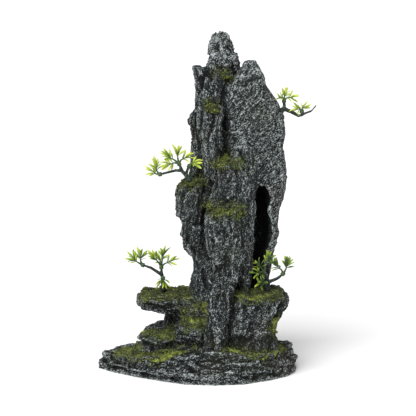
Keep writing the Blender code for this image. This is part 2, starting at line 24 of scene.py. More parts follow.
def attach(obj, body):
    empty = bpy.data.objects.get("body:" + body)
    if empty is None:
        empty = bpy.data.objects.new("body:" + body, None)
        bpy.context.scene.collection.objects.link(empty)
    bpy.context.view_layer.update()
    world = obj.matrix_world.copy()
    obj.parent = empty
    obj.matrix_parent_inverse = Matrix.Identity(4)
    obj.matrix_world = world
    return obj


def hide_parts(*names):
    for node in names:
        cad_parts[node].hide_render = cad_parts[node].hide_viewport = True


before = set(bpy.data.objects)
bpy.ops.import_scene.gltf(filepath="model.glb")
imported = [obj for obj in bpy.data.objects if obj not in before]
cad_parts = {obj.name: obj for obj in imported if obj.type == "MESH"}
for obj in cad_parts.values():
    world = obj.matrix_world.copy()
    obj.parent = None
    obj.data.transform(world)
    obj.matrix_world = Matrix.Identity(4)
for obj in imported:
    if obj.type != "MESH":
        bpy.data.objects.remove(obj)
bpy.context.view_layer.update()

LOG = logging.getLogger("cave_ornament")
MM = 0.001
ROCK_BODY = "rock"
NOISE_SEED = 5


def srgb(red: float, green: float, blue: float) -> tuple[float, float, float, float]:
    """Turns a colour named on the usual 0 to 255 scale into the linear values that shaders work in.

    Args:
        red: Red, 0 to 255.
        green: Green, 0 to 255.
        blue: Blue, 0 to 255.

    Returns:
        The linear colour, with full alpha.
    """
    shares = (red / 255, green / 255, blue / 255)
    linear = (((share + 0.055) / 1.055) ** 2.4 if share > 0.0405 else share / 12.92 for share in shares)
    return (*linear, 1.0)


def smooth_step(low: float, high: float, value: float) -> float:
    """Rises smoothly from 0 at low to 1 at high.

    Args:
        low: Where the rise starts; above high for a fall.
        high: Where it ends.
        value: The place on it.

    Returns:
        A number from 0 to 1.
    """
    share = min(max((value - low) / (high - low), 0.0), 1.0)
    return share * share * (3 - 2 * share)


# ---------------------------------------------------------------------------------------------------------
# Shader building
# ---------------------------------------------------------------------------------------------------------


class Value:
    """A number that varies over a surface. Arithmetic on it adds Math nodes."""

    def __init__(self, surface: Surface, socket: bpy.types.NodeSocket) -> None:
        """Holds the number that one socket of a surface gives."""
        self.surface = surface
        self.socket = socket

    def _math(self, operation: str, *operands: Value | float, clamp: bool = False) -> Value:
        """Adds one Math node.

        Args:
            operation: The node's operation.
            operands: Its inputs, in order.
            clamp: Whether the result stays between 0 and 1.

        Returns:
            The node's result.
        """
        settings = {"operation": operation, "use_clamp": clamp}
        node = self.surface.node("ShaderNodeMath", settings, dict(enumerate(operands)))
        return Value(self.surface, node.outputs[0])

    def __add__(self, other: Value | float) -> Value:
        """Sum."""
        return self._math("ADD", self, other)

    def __radd__(self, other: float) -> Value:
        """Sum, from the right."""
        return self._math("ADD", other, self)

    def __sub__(self, other: Value | float) -> Value:
        """Difference."""
        return self._math("SUBTRACT", self, other)

    def __rsub__(self, other: float) -> Value:
        """Difference, from the right."""
        return self._math("SUBTRACT", other, self)

    def __mul__(self, other: Value | float) -> Value:
        """Product."""
        return self._math("MULTIPLY", self, other)

    def __rmul__(self, other: float) -> Value:
        """Product, from the right."""
        return self._math("MULTIPLY", other, self)

    def __truediv__(self, other: Value | float) -> Value:
        """Quotient."""
        return self._math("DIVIDE", self, other)

    def __pow__(self, other: float) -> Value:
        """Power."""
        return self._math("POWER", self, other)

    def __abs__(self) -> Value:
        """Size without sign."""
        return self._math("ABSOLUTE", self)

    def clamped(self) -> Value:
        """The same number, kept between 0 and 1."""
        return self._math("ADD", self, 0.0, clamp=True)

    def ramp(self, low: float, high: float) -> Value:
        """Rises from 0 where this number is low to 1 where it is high, smoothly.

        Args:
            low: The number that gives 0.
            high: The number that gives 1.

        Returns:
            A number from 0 to 1.
        """
        settings = {"interpolation_type": "SMOOTHSTEP"}
        inputs = {"Value": self, "From Min": low, "From Max": high}
        return Value(self.surface, self.surface.node("ShaderNodeMapRange", settings, inputs).outputs[0])


class Surface:
    """A material under construction, with a Principled shader to feed."""

    def __init__(self, name: str, **constants: float) -> None:
        """Starts a material.

        Args:
            name: The material's name.
            constants: Shader inputs that are the same all over, by socket name with _ for a space.
        """
        self.material = bpy.data.materials.new(name)
        self.material.use_nodes = True
        self.tree = self.material.node_tree
        self.shader = self.tree.nodes["Principled BSDF"]
        for socket, value in constants.items():
            self.shader.inputs[socket.replace("_", " ")].default_value = value
        self._place: bpy.types.NodeSocket | None = None

    def node(self, kind: str, settings: Mapping[str, Any] | None = None,
             inputs: Mapping[int | str, Any] | None = None) -> bpy.types.Node:
        """Adds a node of any type.

        Args:
            kind: The node's type.
            settings: Its properties, set first.
            inputs: The values or links of its sockets, by name or number.

        Returns:
            The new node.
        """
        made = self.tree.nodes.new(kind)
        for name, value in (settings or {}).items():
            setattr(made, name, value)
        for key, value in (inputs or {}).items():
            self.feed(made.inputs[key], value)
        return made

    def feed(self, socket: bpy.types.NodeSocket, value: Any) -> None:
        """Links a socket to a value, or sets it where the value is plain.

        Args:
            socket: The input to feed.
            value: A Value, a socket, or a number, colour or vector.
        """
        if isinstance(value, Value):
            value = value.socket
        if isinstance(value, bpy.types.NodeSocket):
            self.tree.links.new(value, socket)
        else:
            socket.default_value = value

    @property
    def place(self) -> bpy.types.NodeSocket:
        """Where a point is in the row's frame.

        Returns:
            The texture coordinate, made once for each surface.
        """
        if self._place is None:
            self._place = self.node("ShaderNodeTexCoord").outputs["Object"]
        return self._place

    def attribute(self, name: str) -> Value:
        """A number that the mesh carries at each point.

        Args:
            name: The attribute's name.

        Returns:
            Its value.
        """
        return Value(self, self.node("ShaderNodeAttribute", {"attribute_name": name}).outputs["Fac"])

    def stretched(self, turn: Sequence[float], scale: Sequence[float]) -> bpy.types.NodeSocket:
        """The place, turned and stretched, for grain that runs one way.

        Args:
            turn: Rotation about X, Y and Z, in radians.
            scale: Scale along each turned axis.

        Returns:
            The mapped vector.
        """
        inputs = {"Vector": self.place, "Rotation": turn}
        turned = self.node("ShaderNodeMapping", {"vector_type": "TEXTURE"}, inputs)
        return self.node("ShaderNodeMapping", {}, {"Vector": turned.outputs[0], "Scale": scale}).outputs[0]

    def noise(self, scale: float, detail: float = 2.0, roughness: float = 0.5,
              at: bpy.types.NodeSocket | None = None) -> Value:
        """Cloudy noise.

        Args:
            scale: Lumps per metre.
            detail: Octaves.
            roughness: Strength of the finer octaves.
            at: The vector it is read at; the place where none is given.

        Returns:
            The noise, about 0.3 to 0.7.
        """
        inputs = {"Vector": at or self.place, "Scale": scale, "Detail": detail, "Roughness": roughness}
        return Value(self, self.node("ShaderNodeTexNoise", {}, inputs).outputs[0])

    def cells(self, scale: float, at: bpy.types.NodeSocket | None = None) -> Value:
        """Distance to the nearest of many scattered points.

        Args:
            scale: Points per metre.
            at: The vector it is read at; the place where none is given.

        Returns:
            The distance, 0 at each point.
        """
        inputs = {"Vector": at or self.place, "Scale": scale}
        return Value(self, self.node("ShaderNodeTexVoronoi", {"feature": "F1"}, inputs).outputs["Distance"])

    def mix(self, share: Value | float, first: Any, second: Any) -> bpy.types.NodeSocket:
        """Mixes two colours.

        Args:
            share: How much of the second one.
            first: A colour or a socket.
            second: A colour or a socket.

        Returns:
            The mixed colour.
        """
        settings = {"data_type": "RGBA", "blend_type": "MIX", "clamp_factor": True}
        node = self.node("ShaderNodeMix", settings, {0: share, 6: first, 7: second})
        return node.outputs[2]

    def bump(self, height: Value, distance: float, strength: float = 1.0) -> None:
        """Feeds the shader's normal from a height.

        Args:
            height: The height, about 0 to 1.
            distance: What 1 stands for, in metres.
            strength: How much of it shows.
        """
        inputs = {"Height": height, "Distance": distance, "Strength": strength}
        self.feed(self.shader.inputs["Normal"], self.node("ShaderNodeBump", {}, inputs).outputs[0])

    def colour(self, value: Any) -> None:
        """Feeds the shader's base colour."""
        self.feed(self.shader.inputs["Base Color"], value)

    def roughness(self, value: Any) -> None:
        """Feeds the shader's roughness."""
        self.feed(self.shader.inputs["Roughness"], value)


# ---------------------------------------------------------------------------------------------------------
# Finishes
# ---------------------------------------------------------------------------------------------------------


class Grain(Enum):
    """The way a casting's tooling marks run: a turn about Y, then marks per metre across and along it."""

    UPRIGHT = (0.0, 760.0, 340.0)
    SLANTED = (0.78, 760.0, 240.0)
    LEVEL = (math.pi / 2, 720.0, 280.0)
    PITTED = (0.35, 700.0, 520.0)


@dataclass(frozen=True)
class StoneFinish:
    """Dark cast resin, dry-brushed with light grey on what stands out, with dark paint settled in what lies
    deep, and with painted shade where neighbours close it in and inside the cave.

    The mesh carries five numbers: proud (-1 in a hollow, 1 on an edge), recess (painted shade, 1 where
    neighbours close it in), shade (painted shade, 1 in the cave), moss (1 where flock has taken) and pale
    (how much more light grey the whole casting gets, below 0 for less).
    """

    grain: Grain
    deep: tuple[float, ...] = srgb(4, 5, 6)
    body: tuple[float, ...] = srgb(42, 48, 49)
    brushed: tuple[float, ...] = srgb(200, 208, 209)
    green: tuple[float, ...] = srgb(34, 41, 31)
    brown: tuple[float, ...] = srgb(56, 46, 41)
    olive: tuple[float, ...] = srgb(52, 60, 30)
    lime: tuple[float, ...] = srgb(140, 154, 74)
    # The near black of the painted shade inside the cave.
    cave: tuple[float, ...] = srgb(4, 5, 5)
    stroke_sharpness: float = 13.0
    grit_scale: float = 1150.0
    pit_scale: float = 620.0
    patch_scale: float = 34.0
    green_scale: float = 26.0
    brown_scale: float = 19.0
    flock_scale: float = 520.0
    relief: float = 1.0 * MM

    def material(self) -> bpy.types.Material:
        """Builds the material.

        Returns:
            The finished material.
        """
        surface = Surface("stone_" + self.grain.name.lower(), Metallic=0.0, Specular_IOR_Level=0.3)
        turn, across, along = self.grain.value
        marks_at = surface.stretched((0, turn, 0), (across, across, along))
        marks = surface.noise(1.0, detail=2, roughness=0.5, at=marks_at)
        strokes = (1.0 - abs(marks - 0.5) * self.stroke_sharpness).clamped()
        grit = surface.noise(self.grit_scale, detail=1, roughness=0.6)
        pits = surface.cells(self.pit_scale).ramp(0.10, 0.45)
        patches = surface.noise(self.patch_scale, detail=2, roughness=0.5)
        proud = surface.attribute("proud")
        painted_occlusion = surface.attribute("painted_occlusion")

        # pale adds light grey over a whole casting (below 0 it takes some away), and proud adds it on
        # edges.
        pale = surface.attribute("pale") * 0.22 + (proud - 0.55).clamped() * 0.35
        speck = (grit - 0.5) * 3.0 + (strokes - 0.45) * 0.95
        # Painted shade: where neighbours close a point in, less light grey is brushed on and the ground
        # goes darker. The rest of the dark ground is paint settled in pits and hollows.
        brush = (speck * 1.1 + proud * 0.34 + (patches - 0.5) * 0.3 + pale - painted_occlusion * 0.5).ramp(0.16, 1.12)
        clear_of_wash_and_shade = (pits * 0.5 + proud * 0.55 + speck + 0.14 - painted_occlusion * 0.6).ramp(0.0, 0.70)
        ground = surface.mix(clear_of_wash_and_shade, self.deep, self.body)
        greened = surface.noise(self.green_scale, detail=2).ramp(0.48, 0.66) * 0.5
        ground = surface.mix(greened, ground, self.green)
        browned = surface.noise(self.brown_scale, detail=2, roughness=0.6).ramp(0.56, 0.74) * 0.5
        ground = surface.mix(browned, ground, self.brown)
        stone = surface.mix(brush, ground, self.brushed)

        flock = (surface.attribute("moss") * 1.1 - 0.3 + speck + (patches - 0.5)).ramp(0.2, 0.75)
        tone = surface.noise(self.flock_scale, detail=3, roughness=0.7).ramp(0.42, 0.68)
        stone = surface.mix(flock * 0.85, stone, surface.mix(tone, self.olive, self.lime))
        # Painted shade: inside the cave the colour goes near black.
        surface.colour(surface.mix(surface.attribute("shade"), stone, self.cave))

        surface.roughness(0.90 - brush * 0.2)
        surface.bump(strokes * 0.5 + grit * 1.1 + pits * 0.5, distance=self.relief, strength=1.0)
        return surface.material


@dataclass(frozen=True)
class MossFinish:
    """Flock fibre, olive to lime, with painted shade at its root and in the dips of the mat.

    The mesh carries rise (0 at a fibre's root, 1 at its tip) and tint (one for each fibre).
    """

    # The dark of the painted shade at the fibres' roots and in the mat's dips.
    root: tuple[float, ...] = srgb(26, 29, 20)
    olive: tuple[float, ...] = srgb(84, 92, 56)
    lime: tuple[float, ...] = srgb(188, 202, 96)
    patch_scale: float = 110.0
    speck_scale: float = 1500.0
    relief: float = 0.8 * MM

    def material(self) -> bpy.types.Material:
        """Builds the material.

        Returns:
            The finished material.
        """
        surface = Surface("moss_flock", Roughness=0.95, Specular_IOR_Level=0.2)
        rise, tint = surface.attribute("rise"), surface.attribute("tint")
        patches = surface.noise(self.patch_scale, detail=3, roughness=0.6)
        speck = surface.noise(self.speck_scale, detail=2, roughness=0.7)
        bright = (tint * 0.8 + (patches - 0.5) * 2.0 + (speck - 0.5) * 1.4).ramp(0.25, 1.05)
        fibre = surface.mix(bright, self.olive, self.lime)
        # Painted shade: the colour darkens towards each fibre's root and in the mat's dips.
        surface.colour(surface.mix((rise + (speck - 0.5) * 2.2).clamped(), self.root, fibre))
        surface.bump(speck, distance=self.relief, strength=0.8)
        return surface.material


@dataclass(frozen=True)
class TrunkFinish:
    """Dark green moulded plastic with a bark texture, a little lighter on its ridges and in patches."""

    dark: tuple[float, ...] = srgb(14, 22, 18)
    light: tuple[float, ...] = srgb(58, 84, 64)
    bark_scale: float = 700.0
    fine_scale: float = 2600.0
    relief: float = 0.4 * MM

    def material(self) -> bpy.types.Material:
        """Builds the material.

        Returns:
            The finished material.
        """
        surface = Surface("trunk_plastic", Specular_IOR_Level=0.4)
        bark = surface.noise(self.bark_scale, detail=3, roughness=0.6)
        fine = surface.noise(self.fine_scale, detail=2)
        # Lighter on raised bark and in patches of the bark noise.
        worn = (surface.attribute("relief") * 0.5 + bark * 0.9).ramp(0.35, 0.95)
        surface.colour(surface.mix(worn, self.dark, self.light))
        surface.roughness(0.62 - worn * 0.18)
        surface.bump(bark * 0.7 + fine * 0.3, distance=self.relief, strength=0.6)
        return surface.material


@dataclass(frozen=True)
class LeafFinish:
    """Soft plastic leaves, dark green at the stem and yellow-green towards the tip.

    The mesh carries reach (0 at a leaf's foot, 1 at its tip), rib (1 on its midrib) and a tint for each.
    """

    stem: tuple[float, ...] = srgb(34, 60, 34)
    blade: tuple[float, ...] = srgb(128, 156, 44)
    tip: tuple[float, ...] = srgb(206, 216, 92)
    mottle_scale: float = 500.0
    relief: float = 0.2 * MM

    def material(self) -> bpy.types.Material:
        """Builds the material.

        Returns:
            The finished material.
        """
        surface = Surface("leaf_plastic", Specular_IOR_Level=0.45)
        reach, tint = surface.attribute("reach"), surface.attribute("tint")
        mottle = surface.noise(self.mottle_scale, detail=2)
        age = reach * 1.15 + (tint - 0.5) * 0.7 + (mottle - 0.5) * 0.5
        colour = surface.mix(age.ramp(-0.1, 0.45), self.stem, self.blade)
        colour = surface.mix(age.ramp(0.35, 1.0), colour, self.tip)
        rib = surface.attribute("rib")
        surface.colour(surface.mix(rib * 0.35, colour, self.blade))
        surface.roughness(0.42 + mottle * 0.2)
        surface.bump(mottle * 0.6 + rib * 0.4, distance=self.relief, strength=0.5)
        return surface.material


# ---------------------------------------------------------------------------------------------------------
# Mesh helpers
# ---------------------------------------------------------------------------------------------------------


def remeshed(name: str, node: str, voxel: float) -> bpy.types.Object:
    """A new object with the shape of a CAD node, on an even mesh.

    Args:
        name: The new object's name.
        node: The CAD node.
        voxel: The size of the new mesh's cells.

    Returns:
        The new object, in the row's frame.
    """
    shape = bmesh.new()
    shape.from_mesh(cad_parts[node].data)
    bmesh.ops.remove_doubles(shape, verts=shape.verts, dist=1e-6)
    mesh = bpy.data.meshes.new(name)
    shape.to_mesh(mesh)
    shape.free()
    piece = bpy.data.objects.new(name, mesh)
    bpy.context.scene.collection.objects.link(piece)
    modifier = piece.modifiers.new("even", "REMESH")
    modifier.mode = "VOXEL"
    modifier.voxel_size = voxel
    graph = bpy.context.evaluated_depsgraph_get()
    piece.data = bpy.data.meshes.new_from_object(piece.evaluated_get(graph))
    piece.data.name = name
    piece.modifiers.clear()
    return piece


def points_of(mesh: bpy.types.Mesh, what: str = "co") -> np.ndarray:
    """The points of a mesh, or their normals, as rows of three numbers.

    Args:
        mesh: The mesh.
        what: co or normal.

    Returns:
        One row for each vertex.
    """
    values = np.empty(len(mesh.vertices) * 3, np.float32)
    mesh.vertices.foreach_get(what, values)
    return values.reshape(-1, 3).astype(float)


def move_points(mesh: bpy.types.Mesh, points: np.ndarray) -> None:
    """Puts the vertices of a mesh at new places."""
    mesh.vertices.foreach_set("co", points.astype(np.float32).ravel())
    mesh.update()


def carry(mesh: bpy.types.Mesh, name: str, values: Iterable[float]) -> None:
    """Stores a number at each vertex, for the material to read."""
    attribute = mesh.attributes.new(name, "FLOAT", "POINT")
    attribute.data.foreach_set("value", np.fromiter(values, np.float32, len(mesh.vertices)))


def proudness(mesh: bpy.types.Mesh, rounds: int = 14, reach: float = 0.75 * MM) -> np.ndarray:
    """How far each point stands out of, or lies below, the surface around it.

    Args:
        mesh: The mesh.
        rounds: How many times the surface is evened out for the comparison.
        reach: The height that counts as fully proud.

    Returns:
        A number from -1 to 1 for each vertex.
    """
    edges = np.empty(len(mesh.edges) * 2, np.int64)
    mesh.edges.foreach_get("vertices", edges)
    first, second = edges.reshape(-1, 2).T
    count = np.bincount(edges, minlength=len(mesh.vertices))[:, None]
    points = even = points_of(mesh)
    size = len(points)
    for _ in range(rounds):
        total = np.stack([
            np.bincount(first, even[second, axis], size) + np.bincount(second, even[first, axis], size)
            for axis in range(3)
        ], axis=1)
        even = total / np.maximum(count, 1)
    height = ((points - even) * points_of(mesh, "normal")).sum(axis=1)
    return np.clip(height / reach, -1, 1)


def finish_piece(piece: bpy.types.Object, material: bpy.types.Material, body: str, slot: str,
                 *nodes: str) -> None:
    """Dresses a piece, puts it on its body and lets it stand for CAD nodes.

    Args:
        piece: The piece.
        material: Its material.
        body: The body it moves with.
        slot: The record's material slot; not used.
        nodes: The CAD nodes it stands for.
    """
    piece.data.materials.clear()
    piece.data.materials.append(material)
    piece.data.shade_smooth()
    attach(piece, body)
    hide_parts(*nodes)
    LOG.info("%s: %d faces on %s", piece.name, len(piece.data.polygons), body)


def near_tree(points: np.ndarray) -> kdtree.KDTree:
    """A search tree over points.

    Args:
        points: One row for each point.

    Returns:
        The balanced tree.
    """
    tree = kdtree.KDTree(len(points))
    for index, point in enumerate(points):
        tree.insert(point, index)
    tree.balance()
    return tree


# ---------------------------------------------------------------------------------------------------------
# Stones
# ---------------------------------------------------------------------------------------------------------

# Carving, in millimetres: how far and over what size its facets are bent, the size of its roughness, and
# how far the plain shape is raised first, so that the carving takes away about as much as it adds.
WARP = 2.6
WARP_SIZE = 8.0
ROUGH_SIZE = 2.0
RAISED = 0.9

# A casting swells by this much where it meets another, fading out between these two gaps, in millimetres.
SEAM_SWELL = 1.1
SEAM_GAPS = (0.4, 1.7)

# The carving fades in over this height above the floor.
FOOTING = 3 * MM


@dataclass
class Stone:
    """One casting, carved into hewn facets, with grooves that follow its grain, and pits.

    Sizes and depths are in millimetres, apart from the voxel's.
    """

    node: str
    grain: Grain
    block: float = 12.0
    stretch: float = 2.0
    facet_depth: float = 3.2
    groove: float = 5.0
    groove_depth: float = 0.9
    pit_depth: float = 0.5
    pale: float = 0.0
    voxel: float = 0.95 * MM
    piece: bpy.types.Object = field(init=False)

    def _lay_out(self, point: Vector) -> Vector:
        """Turns a place into the grain's own axes and squeezes it along the grain.

        Args:
            point: The place, in millimetres.

        Returns:
            The place to read noise at.
        """
        turn = self.grain.value[0]
        across = point.x * math.cos(turn) - point.z * math.sin(turn)
        along = point.x * math.sin(turn) + point.z * math.cos(turn)
        return Vector((across, point.y, along / self.stretch))

    def _facet(self, place: Vector, size: float) -> float:
        """The height of a hewn surface, where each cell is a flat face with a tilt of its own.

        Args:
            place: The place, in laid-out millimetres.
            size: The size of the cells.

        Returns:
            The height, about -0.5 to 0.5.
        """
        seed = noise.voronoi(place / size)[1][0]
        tilt = noise.cell_vector(seed * 17.3) - Vector((0.5, 0.5, 0.5))
        return max(-0.6, min(0.6, (place / size - seed).dot(tilt) * 1.6))

    def _carve(self, point: Vector) -> float:
        """How deep the surface is carved below its casting's plain shape.

        Args:
            point: The place, in millimetres.

        Returns:
            The depth, in millimetres.
        """
        laid = self._lay_out(point)
        warped = laid + noise.noise_vector(laid / WARP_SIZE) * WARP
        facets = self._facet(warped, self.block) + 0.40 * self._facet(warped, self.block * 0.4)
        groove = min(abs(noise.noise(warped / self.groove)) * 3.2, 1.0)
        rough = noise.fractal(point / ROUGH_SIZE, 0.9, 2.0, 2)
        return (
            self.facet_depth * (0.28 - facets)
            + self.groove_depth * (1 - groove) ** 2
            + self.pit_depth * (0.5 - rough)
            - RAISED
        )

    def even(self) -> np.ndarray:
        """Makes the plain casting on an even mesh.

        Returns:
            Its points.
        """
        self.piece = remeshed(self.node + "_cast", self.node, self.voxel)
        return points_of(self.piece.data)

    def carve(self, gaps: Sequence[float]) -> None:
        """Carves the casting, and swells it where it meets another one so that no seam stays open.

        Args:
            gaps: How far each point is from the nearest other casting, in metres.
        """
        mesh = self.piece.data
        points, normals = points_of(mesh), points_of(mesh, "normal")
        depth = np.array([self._carve(Vector(point) / MM) for point in points])
        swell = np.array([SEAM_SWELL * (1 - smooth_step(*SEAM_GAPS, gap / MM)) for gap in gaps])
        footing = np.clip(points[:, 2] / FOOTING, 0, 1)
        moved = points - normals * ((depth - swell) * footing * MM)[:, None]
        moved[:, 2] = np.maximum(moved[:, 2], 0)
        move_points(mesh, moved)
        carry(mesh, "proud", proudness(mesh))
        carry(mesh, "pale", [self.pale] * len(points))


# The ways in which a point feels for stone around it, for the painted shade: eight at each of four rises.
FEELERS = tuple(
    Vector((math.cos(turn) * math.cos(rise), math.sin(turn) * math.cos(rise), math.sin(rise)))
    for rise in (-0.9, -0.35, 0.2, 0.8)
    for turn in (math.tau * step / 8 + rise for step in range(8))
)

STONES = (
    Stone("base_slab", Grain.LEVEL, block=13.0, stretch=2.6, facet_depth=3.4, groove_depth=1.6, pale=0.4),
    Stone("core_block", Grain.PITTED),
    Stone("lower_step", Grain.LEVEL, groove_depth=1.8, stretch=2.4),
    Stone("step_stone", Grain.LEVEL, facet_depth=4.0, groove_depth=1.8, stretch=2.0),
    Stone("plant_shelf", Grain.LEVEL, groove_depth=1.8, stretch=2.4),
    Stone("right_boulder", Grain.PITTED, block=14.0, facet_depth=3.8, groove_depth=1.1),
    Stone("front_pillar", Grain.UPRIGHT, block=11.0, stretch=2.8),
    Stone("left_column", Grain.UPRIGHT, stretch=3.0, pale=-0.6),
    Stone("left_buttress", Grain.UPRIGHT, stretch=2.0, pale=-0.3),
    Stone("left_tower", Grain.UPRIGHT, stretch=3.2, groove_depth=1.5),
    Stone("centre_column", Grain.UPRIGHT, block=10.0, stretch=3.2),
    Stone("spire", Grain.UPRIGHT, block=11.0, stretch=1.6, pale=1.2),
    Stone("ledge_column", Grain.UPRIGHT, stretch=3.0, pale=-0.3),
    Stone("arch_column", Grain.UPRIGHT, stretch=2.8),
    Stone("great_slab", Grain.SLANTED, block=30.0, stretch=1.8, facet_depth=1.6, groove_depth=0.8,
          pale=0.9),
    Stone("rear_slab", Grain.UPRIGHT, block=18.0),
    Stone("rear_boulder", Grain.PITTED, block=16.0),
    Stone("rear_step", Grain.LEVEL),
)


@dataclass
class Rockery:
    """All the castings together: the inside of the cave and the spots that neighbours close in get painted
    shade, and moss spreads from the pads.
    """

    stones: Sequence[Stone] = STONES
    moss_spread: float = 8.0 * MM
    feeler_start: float = 2.0 * MM
    feeler: float = 16.0 * MM
    # The box inside the cave that is painted as shade, the soft edge of that shade, and how dark it is.
    cave_low: Vector = Vector((0.010, -0.004, 0.060))
    cave_high: Vector = Vector((0.057, 0.030, 0.147))
    cave_edge: tuple[float, float] = (-1 * MM, 3 * MM)
    cave_dark: float = 0.96

    def build(self, pads: Mapping[str, np.ndarray]) -> None:
        """Builds and dresses every casting.

        Args:
            pads: The points of each moss pad.
        """
        clouds = {stone.node: stone.even() for stone in self.stones}
        moss = near_tree(np.concatenate(list(pads.values())))
        materials = {grain: StoneFinish(grain).material() for grain in Grain}
        solid = self.solid()
        for stone in self.stones:
            others = [cloud[::2] for node, cloud in clouds.items() if node != stone.node]
            neighbours = near_tree(np.concatenate(others))
            stone.carve([neighbours.find(point)[2] for point in clouds[stone.node]])
            mesh = stone.piece.data
            points, normals = points_of(mesh), points_of(mesh, "normal")
            # Painted shade where the castings around a point close it in.
            carry(mesh, "painted_occlusion", (self._painted_occlusion(*pair, solid) for pair in zip(points, normals)))
            # Painted shade inside the cave.
            carry(mesh, "shade", (self._shade(point) for point in points))
            carry(mesh, "moss", (self._moss(*pair, moss) for pair in zip(points, normals)))
            finish_piece(stone.piece, materials[stone.grain], ROCK_BODY, "cast_stone", stone.node)

    def solid(self) -> BVHTree:
        """The plain shapes of all the castings.

        Returns:
            The tree of their faces.
        """
        points, faces = [], []
        for stone in self.stones:
            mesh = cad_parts[stone.node].data
            faces += [[len(points) + corner for corner in face.vertices] for face in mesh.polygons]
            points += [vertex.co for vertex in mesh.vertices]
        return BVHTree.FromPolygons(points, faces)

    def _painted_occlusion(self, point: np.ndarray, normal: np.ndarray, solid: BVHTree) -> float:
        """How closed in a point is by the castings around it; the stone gets painted shade by this much.

        Args:
            point: The place.
            normal: The way it faces.
            solid: The castings.

        Returns:
            0 in the open, 1 where something is near whichever way it looks.
        """
        out = Vector(normal)
        start = Vector(point) + out * self.feeler_start
        ways = [way for way in FEELERS if way.dot(out) > 0.25]
        near = sum(solid.ray_cast(start, way, self.feeler)[0] is not None for way in ways)
        return near / max(len(ways), 1)

    def _shade(self, point: np.ndarray) -> float:
        """How much painted shade a point gets: full inside the cave.

        Args:
            point: The place.

        Returns:
            0 in the open, nearly 1 inside the cave.
        """
        spans = zip(point, self.cave_low, self.cave_high)
        inside = min(min(at - low, high - at) for at, low, high in spans)
        return self.cave_dark * smooth_step(*self.cave_edge, inside)

    def _moss(self, point: np.ndarray, normal: np.ndarray, moss: kdtree.KDTree) -> float:
        """How much flock a point has caught.

        Args:
            point: The place.
            normal: The way it faces.
            moss: The points of the moss pads.

        Returns:
            0 for bare stone to 1 for full cover.
        """
        _, _, gap = moss.find(point)
        cover = 1 - smooth_step(0.1, 1.0, gap / self.moss_spread)
        clump = noise.noise(Vector(point) / (6 * MM)) * 0.6
        return max(0.0, cover * (0.75 + 0.25 * normal[2] + clump))


# ---------------------------------------------------------------------------------------------------------
# Moss
# ---------------------------------------------------------------------------------------------------------


# The tints that fibres come in, and how many come in each.
FIBRE_TINTS = (0.05, 0.4, 0.95)
FIBRE_SHARES = (0.42, 0.33, 0.25)

# How far up its fibre each point of a blade is: two at its foot, two at its middle and the tip.
BLADE_RISE = (0.1, 0.1, 0.7, 0.7, 1.0)


@dataclass(frozen=True)
class Ground:
    """Faces of the castings close to a moss mat: their corners, and how thickly flock covers each."""

    corners: np.ndarray
    cover: np.ndarray


